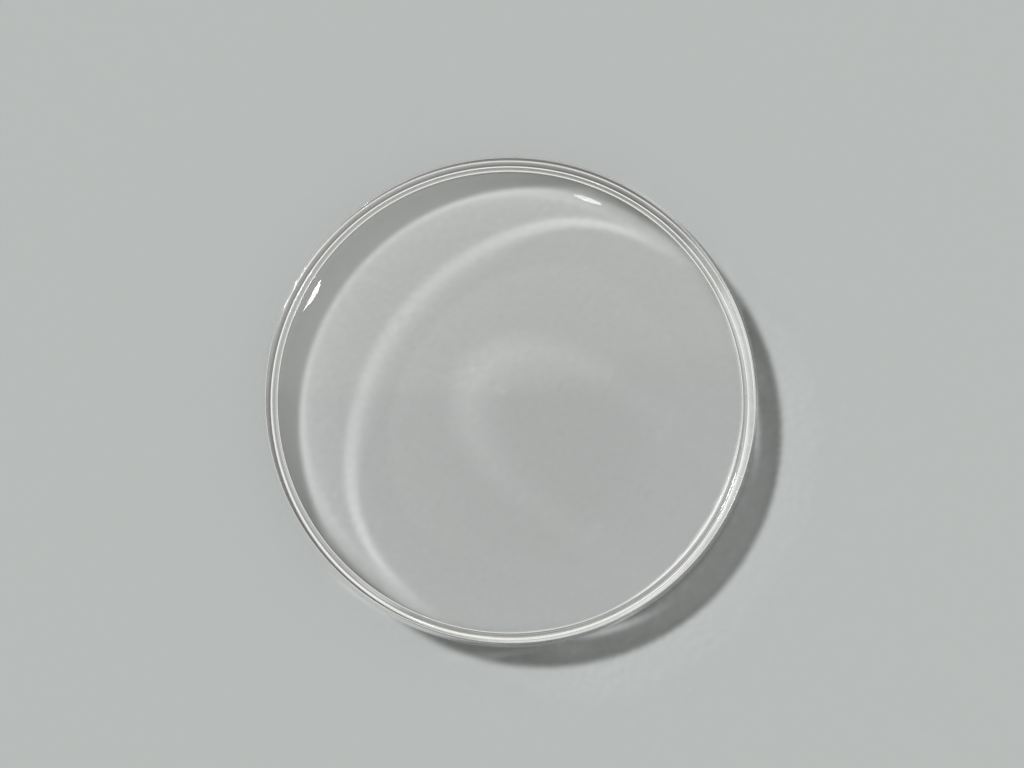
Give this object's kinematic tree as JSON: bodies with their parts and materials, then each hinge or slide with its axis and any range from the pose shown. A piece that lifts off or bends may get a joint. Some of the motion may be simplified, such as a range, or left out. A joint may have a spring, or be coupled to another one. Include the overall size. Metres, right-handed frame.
{
  "type": "watch crystal",
  "caption": "Bare domed acrylic watch crystal: clear shallow dome with a narrow polished bevel over an upright outer wall, a hollow underside, and an inner wall that leans in from a narrow flat foot.",
  "frame": {"origin": "centre of the flat foot of the rim, the plane that the crystal rests on", "axes": "+Z along the axis of the dome, out of the watch towards the wearer; the part is round, so X and Y are any two directions square to it"},
  "size_m": [0.0296, 0.0296, 0.003],
  "materials": {
    "clear_acrylic": "clear polished acrylic with faint handling scratches"
  },
  "bodies": {
    "root": {"crystal": "clear_acrylic"}
  },
  "joints": []
}
